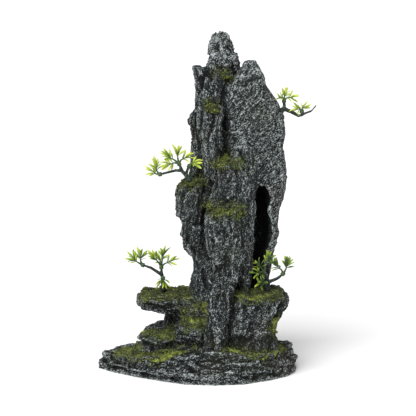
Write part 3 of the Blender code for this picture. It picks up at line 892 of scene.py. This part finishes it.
@dataclass
class MossPad:
    """A pad of flock: a lumpy mat with fibres standing out of it, longer where they hang over an edge.

    The density is in fibres to a square millimetre. The fibres' length, and how deep the mat is bedded,
    sinks where it is bare and rises in lumps, are in millimetres.
    """

    node: str
    density: float = 0.9
    length: float = 1.7
    bright: float = 0.0
    wear: float = 0.0
    hold: float = 0.3
    bed: float = 0.4
    sink: float = 2.6
    lump: float = 0.6
    blade: float = 0.42 * MM
    voxel: float = 0.8 * MM
    piece: bpy.types.Object = field(init=False)
    bare: np.ndarray = field(init=False)
    rim: np.ndarray = field(init=False)

    def mat(self, solid: BVHTree) -> np.ndarray:
        """Makes the mat. Where it is bare it sinks into the stone below it.

        Args:
            solid: The castings.

        Returns:
            Its points.
        """
        self.piece = remeshed(self.node + "_flock", self.node, self.voxel)
        mesh = self.piece.data
        points, normals = points_of(mesh), points_of(mesh, "normal")
        below = np.array([solid.find_nearest(Vector(point))[1] for point in points])
        open_edge = (np.abs(normals[:, 2]) < 0.6) & (normals[:, 1] < 0.35)
        edge = near_tree(points[open_edge])
        inset = np.array([edge.find(point)[2] for point in points]) / MM
        self.rim = np.exp(-inset / 2.5)
        steep = 1 - np.clip((below[:, 2] + 0.1) / 0.7, 0, 1)
        places = zip(points, inset, steep)
        self.bare = np.array([self._bareness(Vector(point), *pair) for point, *pair in places])
        lumps = np.array([noise.fractal(Vector(point) / (2.4 * MM), 0.8, 2.0, 2) for point in points])
        drop = self.bed + self.sink * self.bare - self.lump * lumps * (1 - self.bare)
        move_points(mesh, points - below * (drop * MM)[:, None])
        # The mat's dips get a low rise, so they are painted with shade.
        carry(mesh, "rise", 0.35 + 0.3 * lumps)
        carry(mesh, "tint", 0.2 + self.bright + 0.3 * self.rim)
        return points[self.bare < 0.5]

    def _bareness(self, point: Vector, inset: float, steep: float) -> float:
        """How far the mat has worn away at a point: along its open edge, on steep stone, and in patches.

        Args:
            point: The place.
            inset: How far it is from the open edge, in millimetres.
            steep: 0 on level stone, 1 on a wall.

        Returns:
            0 for a full mat, 1 for bare stone.
        """
        clump = noise.noise(point / (3.5 * MM))
        edge = 1 - smooth_step(0.5, 3.0, inset + clump * 4.5)
        wall = smooth_step(self.hold, self.hold + 0.5, steep + clump * 0.9)
        worn = noise.noise(point / (7.5 * MM) + Vector((3.1, 1.7, 0.4)))
        patch = smooth_step(self.wear, self.wear + 0.22, worn)
        return max(edge, wall, patch)

    def fibres(self, rng: np.random.Generator, ground: Ground) -> None:
        """Grows the fibres on the mat, and a thin scatter of them on the stone around it.

        Args:
            rng: The source of every random draw.
            ground: The faces of the castings near this mat.
        """
        mesh = self.piece.data
        mesh.calc_loop_triangles()
        points = points_of(mesh)
        triangles = np.array([triangle.vertices[:] for triangle in mesh.loop_triangles])
        cover = 1 - self.bare[triangles].mean(axis=1)
        fringe = self.rim[triangles].mean(axis=1)
        corners = np.concatenate((points[triangles], ground.corners))
        cover = np.concatenate((cover * (1 + 0.8 * fringe), ground.cover * 0.55))
        fringe = np.concatenate((fringe, np.full(len(ground.cover), 0.35)))
        cross = np.cross(corners[:, 1] - corners[:, 0], corners[:, 2] - corners[:, 0])
        double_area = np.linalg.norm(cross, axis=1)
        facing = cross / np.maximum(double_area, 1e-12)[:, None]
        weight = double_area / 2 * np.clip(facing[:, 2] + 0.75, 0.0, 1.2) * cover
        count = int(weight.sum() / MM**2 * self.density)
        chosen = rng.choice(len(corners), count, p=weight / weight.sum())
        roots = (corners[chosen] * rng.dirichlet((1, 1, 1), count)[:, :, None]).sum(axis=1)
        ways = facing[chosen] * 0.8 + rng.normal(0, 0.6, (count, 3)) + np.array((0, 0, 0.25))
        ways /= np.linalg.norm(ways, axis=1)[:, None]
        lengths = self.length * MM * rng.uniform(0.4, 1.2, count) * (0.8 + 0.5 * fringe[chosen])
        side = np.cross(ways, rng.normal(0, 1, (count, 3)))
        side *= (self.blade / 2 / np.linalg.norm(side, axis=1))[:, None]
        base = roots - ways * (0.3 * MM)
        middle = base + ways * lengths[:, None] * 0.55
        tip = base + ways * lengths[:, None] + np.array((0, 0, -0.3)) * lengths[:, None]
        tints = rng.choice(FIBRE_TINTS, count, p=FIBRE_SHARES) + self.bright + 0.35 * fringe[chosen]
        narrow = side * 0.8
        blades = np.stack((base - side, base + side, middle + narrow, middle - narrow, tip), axis=1)
        self._add_blades(blades, tints)

    def _add_blades(self, blades: np.ndarray, tints: np.ndarray) -> None:
        """Joins blades to the mat.

        Args:
            blades: For each blade its two feet, its two middle points and its tip.
            tints: The tint of each.
        """
        corners = len(BLADE_RISE)
        mesh = self.piece.data
        old_points, faces = points_of(mesh), [tuple(face.vertices) for face in mesh.polygons]
        rises = np.empty(len(mesh.vertices), np.float32)
        mesh.attributes["rise"].data.foreach_get("value", rises)
        mat_tints = np.empty(len(mesh.vertices), np.float32)
        mesh.attributes["tint"].data.foreach_get("value", mat_tints)
        first = len(old_points) + corners * np.arange(len(blades))
        faces += [(at, at + 1, at + 2, at + 3) for at in first]
        faces += [(at + 3, at + 2, at + 4) for at in first]
        joined = bpy.data.meshes.new(mesh.name)
        joined.from_pydata(np.concatenate((old_points, blades.reshape(-1, 3))), [], faces)
        carry(joined, "rise", np.concatenate((rises, np.tile(BLADE_RISE, len(blades)))))
        carry(joined, "tint", np.concatenate((mat_tints, np.repeat(tints, corners))))
        self.piece.data = joined


MOSS_PADS = (
    MossPad("moss_shelf"),
    MossPad("moss_boulder", bright=0.05),
    MossPad("moss_boulder_edge", length=1.3, hold=1.5, bright=0.2),
    MossPad("moss_pillar_top", length=3.0, bright=0.3, wear=0.05),
    MossPad("moss_buttress", length=2.6, bright=0.1, wear=0.1),
    MossPad("moss_mid_ledge", length=2.4, bright=0.1, wear=0.05),
    MossPad("moss_column_top", length=2.0, bright=0.1, wear=-0.1),
    MossPad("moss_spire_foot", length=1.4, wear=-0.25),
    MossPad("moss_step", length=1.3, wear=-0.1),
    MossPad("moss_lower_step", bright=0.1),
    MossPad("moss_base_left", bright=0.3),
    MossPad("moss_base_right", bright=0.35),
)


@dataclass
class MossGarden:
    """All the moss pads."""

    pads: Sequence[MossPad] = MOSS_PADS
    drift: float = 7.0 * MM
    seed: int = 11

    def mats(self, solid: BVHTree) -> dict[str, np.ndarray]:
        """Makes every mat.

        Args:
            solid: The castings.

        Returns:
            The points of each.
        """
        return {pad.node: pad.mat(solid) for pad in self.pads}

    def grow(self, stones: Iterable[bpy.types.Mesh], mats: Mapping[str, np.ndarray]) -> None:
        """Grows the fibres and dresses the pads.

        Args:
            stones: The carved castings.
            mats: The points of each mat.
        """
        rng = np.random.default_rng(self.seed)
        material = MossFinish().material()
        owners = [pad.node for pad in self.pads for _ in mats[pad.node]]
        grounds = self._grounds(stones, near_tree(np.concatenate(list(mats.values()))), owners)
        for pad in self.pads:
            pad.fibres(rng, grounds[pad.node])
            finish_piece(pad.piece, material, ROCK_BODY, "moss_flock", pad.node)

    def _grounds(self, stones: Iterable[bpy.types.Mesh], moss: kdtree.KDTree,
                 owners: Sequence[str]) -> dict[str, Ground]:
        """Finds the faces of the castings that flock has drifted onto.

        Args:
            stones: The carved castings.
            moss: The points of all the mats.
            owners: The pad that each of those points belongs to.

        Returns:
            The faces near each pad.
        """
        found = {pad.node: ([], []) for pad in self.pads}
        for mesh in stones:
            mesh.calc_loop_triangles()
            points = points_of(mesh)
            triangles = np.array([triangle.vertices[:] for triangle in mesh.loop_triangles])
            corners = points[triangles]
            for face, centre in zip(corners, corners.mean(axis=1)):
                _, index, gap = moss.find(centre)
                if gap > self.drift:
                    continue
                clump = 0.5 + 1.3 * noise.noise(Vector(centre) / (5 * MM))
                cover = (1 - gap / self.drift) ** 1.5 * clump
                if cover > 0.02:
                    found[owners[index]][0].append(face)
                    found[owners[index]][1].append(cover)
        return {
            node: Ground(np.array(faces).reshape(-1, 3, 3), np.array(cover))
            for node, (faces, cover) in found.items()
        }


# ---------------------------------------------------------------------------------------------------------
# Trees
# ---------------------------------------------------------------------------------------------------------


@dataclass
class Soup:
    """Points and faces gathered for one mesh, with the numbers that each point carries."""

    points: list[Vector] = field(default_factory=list)
    faces: list[tuple[int, ...]] = field(default_factory=list)
    carried: dict[str, list[float]] = field(default_factory=lambda: {"reach": [], "rib": [], "tint": []})

    def add(self, point: Vector, reach: float = 0.0, rib: float = 0.0, tint: float = 0.5) -> int:
        """Adds a point.

        Args:
            point: Its place.
            reach: How far along its leaf it is, 0 to 1.
            rib: 1 on a midrib.
            tint: Its leaf's tint.

        Returns:
            Its number.
        """
        self.points.append(point)
        for name, value in (("reach", reach), ("rib", rib), ("tint", tint)):
            self.carried[name].append(value)
        return len(self.points) - 1

    def sweep(self, path: Sequence[Vector], radii: Sequence[float], sides: int = 8) -> None:
        """Adds a closed tube.

        Args:
            path: Its centre line.
            radii: Its radius at each point.
            sides: Corners around it.
        """
        side, rows = None, []
        for index, (point, radius) in enumerate(zip(path, radii)):
            along = (path[min(index + 1, len(path) - 1)] - path[max(index - 1, 0)]).normalized()
            side = along.orthogonal() if side is None else side - along * side.dot(along)
            side.normalize()
            other = along.cross(side)
            turns = (math.tau * step / sides for step in range(sides))
            ways = (side * math.cos(turn) + other * math.sin(turn) for turn in turns)
            rows.append([self.add(point + way * radius) for way in ways])
        for low, high in zip(rows, rows[1:]):
            for here in range(sides):
                after = (here + 1) % sides
                self.faces.append((low[here], low[after], high[after], high[here]))
        self.faces.append(tuple(reversed(rows[0])))
        self.faces.append(tuple(rows[-1]))

    def piece(self, name: str) -> bpy.types.Object:
        """Makes the object.

        Args:
            name: Its name.

        Returns:
            The object, in the row's frame.
        """
        mesh = bpy.data.meshes.new(name)
        mesh.from_pydata(self.points, [], self.faces)
        for attribute, values in self.carried.items():
            carry(mesh, attribute, values)
        made = bpy.data.objects.new(name, mesh)
        bpy.context.scene.collection.objects.link(made)
        return made


# A leaf's cross-section, by share of its half width and by side: 1 above, -1 below and 0 on the edge.
LEAF_SECTION = ((-1, 0), (-0.5, 1), (0, 1), (0.5, 1), (1, 0), (0.5, -1), (0, -1), (-0.5, -1))

# The ranks of leaves round a twig: how far out they stand, their angle to it, their size and their number.
LEAF_RANKS = ((0.95, 0.6, 0.95, 3), (0.62, 0.95, 0.9, 3), (0.25, 1.15, 0.75, 2))

# A spray's collar, as places along its hub's axis with the radius at each, in millimetres.
COLLAR = ((-1.8, 1.5), (-1.5, 1.75), (0.6, 1.6), (1.3, 0.9))

# A twig's radii from its foot to its end, in millimetres.
TWIG_RADII = (0.85, 0.75, 0.62, 0.4)

TREE_SEED = 7


@dataclass(frozen=True)
class Leaf:
    """A lance-shaped leaf: cupped along its midrib, arched, and thicker in its middle."""

    length: float = 9.0 * MM
    width: float = 2.0 * MM
    thickness: float = 0.34 * MM
    cup: float = 0.22
    arch: float = 0.16
    rows: int = 7

    def add_to(self, soup: Soup, root: Vector, way: Vector, up: Vector, size: float, tint: float) -> None:
        """Adds one leaf.

        Args:
            soup: The mesh being gathered.
            root: Its foot.
            way: The way it points.
            up: The way its upper face looks.
            size: Its size against the usual one.
            tint: Its tint.
        """
        side = way.cross(up).normalized()
        up = side.cross(way).normalized()
        length, width = self.length * size, self.width * size
        rows = []
        for row in range(self.rows + 1):
            share = row / self.rows
            half = width / 2 * (math.sin(math.pi * share**1.15) ** 0.9 * 0.92 + 0.08)
            spine = root + way * length * share + up * length * self.arch * (share - share * share * 1.35)
            ring = []
            for across, top in LEAF_SECTION:
                lift = abs(across) * half * self.cup * 2 + top * self.thickness / 2 * (1 - share * 0.5)
                rib = 1.0 if across == 0 else 0.0
                ring.append(soup.add(spine + side * half * across + up * lift, share, rib, tint))
            rows.append(ring)
        for low, high in zip(rows, rows[1:]):
            for here in range(len(LEAF_SECTION)):
                after = (here + 1) % len(LEAF_SECTION)
                soup.faces.append((low[here], high[here], high[after], low[after]))
        soup.faces.append(tuple(rows[0]))
        soup.faces.append(tuple(reversed(rows[-1])))


@dataclass(frozen=True)
class Spray:
    """A leaf spray: where its hub sits, the way the hub looks, and where its twigs end, in millimetres."""

    name: str
    hub: tuple[float, float, float]
    axis: tuple[float, float, float]
    twigs: tuple[tuple[float, float, float], ...]
    size: float = 1.0


@dataclass
class Tree:
    """One moulded tree: a trunk with bark, and the sprays pushed onto its branch ends.

    The bark's marks are counted to a metre, across the trunk and up it, and its height is in millimetres.
    """

    name: str
    sprays: Sequence[Spray]
    tint: float = 0.0
    leaf: Leaf = Leaf()
    voxel: float = 0.36 * MM
    bark_marks: tuple[float, float] = (1100.0, 420.0)
    bark_height: float = 0.22

    def build(self, bark: bpy.types.Material, foliage: bpy.types.Material,
              rng: np.random.Generator) -> None:
        """Builds the trunk and its sprays.

        Args:
            bark: The trunk's material.
            foliage: The sprays' material.
            rng: The source of every random draw.
        """
        self._trunk(bark)
        for spray in self.sprays:
            soup = Soup()
            self._spray(soup, spray, rng)
            node = f"{self.name}_{spray.name}"
            finish_piece(soup.piece(node + "_leaves"), foliage, self.name, "leaf_plastic", node)

    def _trunk(self, bark: bpy.types.Material) -> None:
        """Remeshes the trunk, rounds it and raises its bark.

        Args:
            bark: Its material.
        """
        node = self.name + "_trunk"
        piece = remeshed(node + "_bark", node, self.voxel)
        smooth = piece.modifiers.new("round", "SMOOTH")
        smooth.factor, smooth.iterations = 0.5, 4
        graph = bpy.context.evaluated_depsgraph_get()
        piece.data = bpy.data.meshes.new_from_object(piece.evaluated_get(graph))
        piece.modifiers.clear()
        mesh = piece.data
        points, normals = points_of(mesh), points_of(mesh, "normal")
        across, up = self.bark_marks
        relief = [noise.noise(Vector((x * across, y * across, z * up))) for x, y, z in points]
        move_points(mesh, points + normals * (np.array(relief)[:, None] * self.bark_height * MM))
        carry(mesh, "relief", relief)
        finish_piece(piece, bark, self.name, "trunk_plastic", node)

    def _spray(self, soup: Soup, spray: Spray, rng: np.random.Generator) -> None:
        """Adds the hub, twigs and leaves of one spray.

        Args:
            soup: The mesh being gathered.
            spray: The spray.
            rng: The source of every random draw.
        """
        hub, axis = Vector(spray.hub) * MM, Vector(spray.axis).normalized()
        collar = [hub + axis * along * MM for along, _ in COLLAR]
        soup.sweep(collar, [radius * MM for _, radius in COLLAR], sides=12)
        for place in spray.twigs:
            end = Vector(place) * MM
            bend = (hub + end) / 2 + axis * 0.8 * MM
            path = [hub.lerp(bend, 0.1), hub.lerp(bend, 0.6), bend, end]
            soup.sweep(path, [radius * MM for radius in TWIG_RADII])
            self._leaves(soup, bend, end, spray.size, rng)

    def _leaves(self, soup: Soup, bend: Vector, end: Vector, size: float, rng: np.random.Generator) -> None:
        """Adds a twig's leaves: one at its end and ranks of them along its outer part.

        Args:
            soup: The mesh being gathered.
            bend: The twig's middle.
            end: Its end.
            size: Its leaves' size.
            rng: The source of every random draw.
        """
        along = (end - bend).normalized()
        toward_front = Vector((0, -1, 0.35)).normalized()
        side = along.cross(toward_front).normalized()
        other = side.cross(along)
        ways = [(along, 1.0, 1.0)]
        for rank, (at, spread, grown, leaves) in enumerate(LEAF_RANKS):
            for turn in range(leaves):
                angle = math.tau * turn / leaves + 0.5 * rank + rng.normal(0, 0.3)
                around = side * math.cos(angle) + other * math.sin(angle) * 0.55
                way = along * math.cos(spread) + around * math.sin(spread)
                ways.append((way.normalized(), at, grown))
        for way, at, grown in ways:
            way = (way + Vector(rng.normal(0, 0.10, 3)) + Vector((0, 0, 0.10))).normalized()
            root = bend.lerp(end, at)
            up = (other * -1 + Vector((0, 0, 0.8)) + Vector(rng.normal(0, 0.35, 3))).normalized()
            full_size = size * grown * rng.uniform(0.85, 1.15)
            self.leaf.add_to(soup, root, way, up, full_size, rng.uniform(0, 1) + self.tint)


TREES = (
    Tree("upper_right_tree", (
        Spray("crown_spray", (65.6, 2, 207.8), (-0.1, 0, 1),
              ((64, 0, 210), (66.4, 2, 211.8), (70, 1, 210)), 0.8),
        Spray("outer_spray", (79.2, 0, 200), (0.1, 0, 1), ((76.8, -1, 201.4), (80, 1, 202)), 0.85),
    ), tint=0.1),
    Tree("mid_left_tree", (
        Spray("outer_spray", (-28.6, -12, 153), (-1, 0, -0.25), ((-32.6, -12, 154.4), (-31, -13, 158.8))),
        Spray("crown_spray", (-14, -13, 161.6), (-0.4, -0.2, 1),
              ((-20.4, -13, 160.8), (-21, -14, 166), (-15, -13, 168.4), (-9.6, -14, 165.6))),
        Spray("inner_spray", (-6, -14.6, 160), (0.4, -0.35, 1), ((-3.2, -16, 161.6),)),
    ), tint=0.1),
    Tree("lower_left_tree", (
        Spray("crown_spray", (-28, 0, 80), (-0.1, 0, 1),
              ((-33, -1, 86.6), (-26.4, 0, 88.4), (-22, -1, 83.6), (-29, 5, 84))),
        Spray("outer_spray", (-42.6, 0, 81.4), (-1, 0, 0.35), ((-48.2, 0, 84.8), (-43.6, -1, 87.2))),
        Spray("low_spray", (-26.4, -4.4, 72), (0.2, -1, 0.2), ((-26, -7, 71),)),
    ), tint=-0.2),
    Tree("lower_right_tree", (
        Spray("crown_spray", (50, -17, 79.4), (-0.4, -0.5, 0.8),
              ((46, -25, 79.4), (47, -24, 85.0), (53.4, -18, 88.6)), 0.95),
        Spray("outer_spray", (65.4, -14.4, 77.4), (0.75, 0, 0.65),
              ((60.6, -15.4, 82.8), (67.8, -15, 83.4))),
        Spray("low_spray", (51.6, -18.6, 71), (-0.3, -0.95, 0.2), ((49.6, -22, 71.4),)),
    ), tint=-0.6),
)


# ---------------------------------------------------------------------------------------------------------
# Studio
# ---------------------------------------------------------------------------------------------------------


@dataclass
class Studio:
    """The pale floor, the soft light and the camera."""

    camera_at: Vector = Vector((0.008, -1.100, 0.290))
    camera_pitch: float = math.radians(8.5)
    lens: float = 125.76
    sensor: float = 36.0
    floor_size: float = 240.0
    floor_colour: tuple[float, ...] = (0.94, 0.94, 0.94, 1.0)
    sky: float = 0.50
    sun: float = 3.4
    sun_spread: float = math.radians(50)
    sun_turn: tuple[float, float, float] = (math.radians(40), math.radians(-24), 0.0)

    def build(self) -> None:
        """Builds everything that isn't the ornament."""
        self._floor()
        self._lights()
        self._camera()

    def _floor(self) -> None:
        """Lays the floor."""
        half = self.floor_size / 2
        mesh = bpy.data.meshes.new("floor")
        corners = [(-half, -half, 0), (half, -half, 0), (half, half, 0), (-half, half, 0)]
        mesh.from_pydata(corners, [], [(0, 1, 2, 3)])
        floor = bpy.data.objects.new("floor", mesh)
        bpy.context.scene.collection.objects.link(floor)
        surface = Surface("pale_floor", Specular_IOR_Level=0.0, Roughness=1.0)
        surface.colour(self.floor_colour)
        mesh.materials.append(surface.material)

    def _lights(self) -> None:
        """Sets an even sky and a broad soft sun from the upper left."""
        scene = bpy.context.scene
        scene.world = bpy.data.worlds.new("sky")
        scene.world.use_nodes = True
        background = scene.world.node_tree.nodes["Background"]
        background.inputs["Color"].default_value = (1, 1, 1, 1)
        background.inputs["Strength"].default_value = self.sky
        light = bpy.data.lights.new("sun", "SUN")
        light.energy, light.angle = self.sun, self.sun_spread
        sun = bpy.data.objects.new("sun", light)
        sun.rotation_euler = self.sun_turn
        scene.collection.objects.link(sun)

    def _camera(self) -> None:
        """Sets up the camera."""
        data = bpy.data.cameras.new("camera")
        data.lens, data.sensor_width = self.lens, self.sensor
        camera = bpy.data.objects.new("camera", data)
        camera.location = self.camera_at
        camera.rotation_euler = (math.pi / 2 - self.camera_pitch, 0, 0)
        bpy.context.scene.collection.objects.link(camera)
        bpy.context.scene.camera = camera


def main() -> None:
    """Builds the ornament and its studio."""
    logging.basicConfig(level=logging.INFO, format="%(message)s")
    bpy.context.scene.view_settings.view_transform = "Standard"
    noise.seed_set(NOISE_SEED)
    garden = MossGarden()
    rockery = Rockery()
    mats = garden.mats(rockery.solid())
    rockery.build(mats)
    garden.grow((stone.piece.data for stone in rockery.stones), mats)
    bark, foliage = TrunkFinish().material(), LeafFinish().material()
    rng = np.random.default_rng(TREE_SEED)
    for tree in TREES:
        tree.build(bark, foliage, rng)
    Studio().build()


if __name__ == "__main__":
    main()
